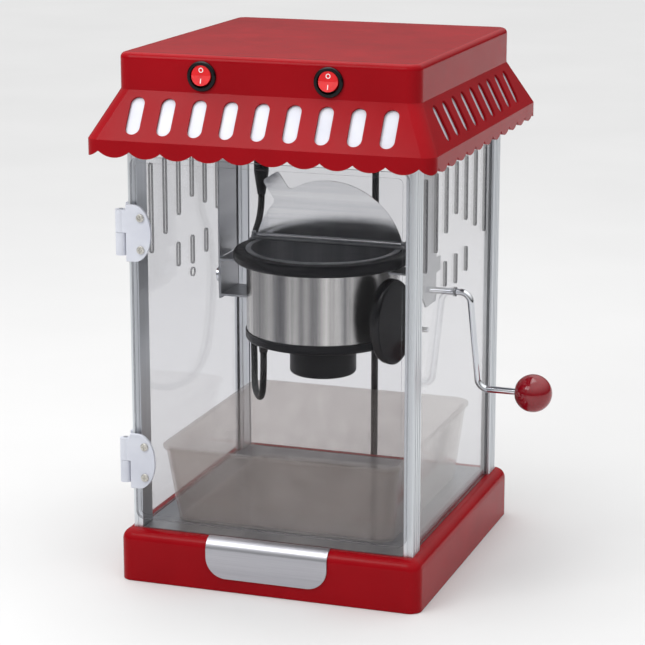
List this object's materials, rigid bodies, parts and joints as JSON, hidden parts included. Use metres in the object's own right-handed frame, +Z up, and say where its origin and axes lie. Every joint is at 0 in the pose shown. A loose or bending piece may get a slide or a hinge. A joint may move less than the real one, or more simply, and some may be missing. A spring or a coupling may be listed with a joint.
{
  "type": "popcorn maker",
  "caption": "Tabletop popcorn maker: scalloped hood on posts, clear walls, a hinged clear door, a crank-tipped kettle with a stirrer and flap, and a sliding tray.",
  "frame": {"origin": "centre of the base, on the surface that it stands on", "axes": "+Z up, -Y the front with the door, +X to the viewer's right, where the crank is"},
  "size_m": [0.34, 0.3741, 0.432],
  "materials": {
    "red_gloss": "moulded, glossy red",
    "knob_red": "moulded, satin deep red",
    "rocker_red": "moulded, glossy bright red",
    "white_plastic": "moulded, white",
    "clear_sheet": "clear acrylic sheet",
    "tray_plastic": "moulded translucent plastic",
    "post_aluminium": "satin anodised extrusion",
    "plate_aluminium": "brushed",
    "plain_steel": "bare sheet",
    "kettle_steel": "brushed round the kettle",
    "pot_aluminium": "spun",
    "lid_steel": "bright sheet",
    "chrome": "plated",
    "screw_steel": "zinc plated",
    "black_plastic": "moulded, satin black",
    "handle_black": "moulded, glossy black",
    "lead_rubber": "extruded, black",
    "foot_rubber": "moulded pads",
    "motor_steel": "drawn can",
    "lamp_ceramic": "glazed white",
    "lamp_glass": "frosted glass"
  },
  "bodies": {
    "cabinet": {"base_shell": "red_gloss", "base_cover": "plain_steel", "base_feet": "foot_rubber", "floor_plate": "plain_steel", "front_plate": "plate_aluminium", "ceiling_pan": "plain_steel", "rear_panel": "clear_sheet", "left_window": "clear_sheet", "right_window": "clear_sheet", "post_front_left": "post_aluminium", "post_front_right": "post_aluminium", "post_rear_left": "post_aluminium", "post_rear_right": "post_aluminium", "hood_shell": "red_gloss", "hood_liner": "white_plastic", "switch_bezel_left": "black_plastic", "switch_bezel_right": "black_plastic", "lamp_holder": "lamp_ceramic", "lamp_bulb": "lamp_glass", "hanger_left": "plain_steel", "hanger_right": "plain_steel", "upper_hinge_post_leaf": "white_plastic", "lower_hinge_post_leaf": "white_plastic", "hinge_pins": "chrome", "kettle_lead_plug": "black_plastic", "kettle_lead": "lead_rubber", "mains_gland": "lead_rubber", "mains_lead": "lead_rubber", "mains_coil": "lead_rubber", "mains_plug": "lead_rubber", "base_cover_screws": "screw_steel", "hood_screws": "screw_steel", "hanger_screws": "screw_steel", "hinge_post_screws": "screw_steel", "post_screws": "screw_steel"},
    "door": {"door_panel": "clear_sheet", "upper_hinge_door_leaf": "white_plastic", "lower_hinge_door_leaf": "white_plastic", "hinge_door_screws": "screw_steel"},
    "kettle": {"kettle_shell": "kettle_steel", "kettle_rim": "black_plastic", "inner_pot": "pot_aluminium", "kettle_base_ring": "black_plastic", "heating_element": "pot_aluminium", "motor_housing": "black_plastic", "stir_motor": "motor_steel", "kettle_handle": "handle_black", "left_pivot_bracket": "plain_steel", "right_pivot_bracket": "plain_steel", "left_pivot_pin": "chrome", "stop_pin": "chrome", "crank_rod": "chrome", "crank_knob": "knob_red", "lid_hinge_bar": "plain_steel", "kettle_lead_gland": "lead_rubber"},
    "lid": {"lid_flap": "lid_steel"},
    "stirrer": {"stirrer": "pot_aluminium"},
    "lamp_switch": {"lamp_rocker": "rocker_red"},
    "kettle_switch": {"kettle_rocker": "rocker_red"},
    "tray": {"popcorn_tray": "tray_plastic"}
  },
  "joints": [
    {"name": "door_hinge", "type": "hinge", "parent": "cabinet", "child": "door", "pos_m": [-0.1234, -0.129, 0.2], "axis": [0, 0, -1], "range_deg": [0, 180]},
    {"name": "kettle_tilt", "type": "hinge", "parent": "cabinet", "child": "kettle", "pos_m": [0, 0, 0.23], "axis": [1, 0, 0], "range_deg": [0, 100], "deforming": ["kettle_lead"]},
    {"name": "lid_flap", "type": "hinge", "parent": "kettle", "child": "lid", "pos_m": [0, 0.02, 0.262], "axis": [1, 0, 0], "range_deg": [-92, 0]},
    {"name": "stirrer_spin", "type": "hinge", "parent": "kettle", "child": "stirrer", "pos_m": [0, 0.004, 0.2], "axis": [0, 0, 1], "continuous": true},
    {"name": "lamp_rocker", "type": "hinge", "parent": "cabinet", "child": "lamp_switch", "pos_m": [-0.0516, -0.1285, 0.4163], "axis": [1, 0, 0], "range_deg": [0, 14]},
    {"name": "kettle_rocker", "type": "hinge", "parent": "cabinet", "child": "kettle_switch", "pos_m": [0.0516, -0.1285, 0.4163], "axis": [1, 0, 0], "range_deg": [0, 14]},
    {"name": "tray_slide", "type": "slide", "parent": "cabinet", "child": "tray", "axis": [0, -1, 0], "range_m": [0, 0.01]}
  ]
}
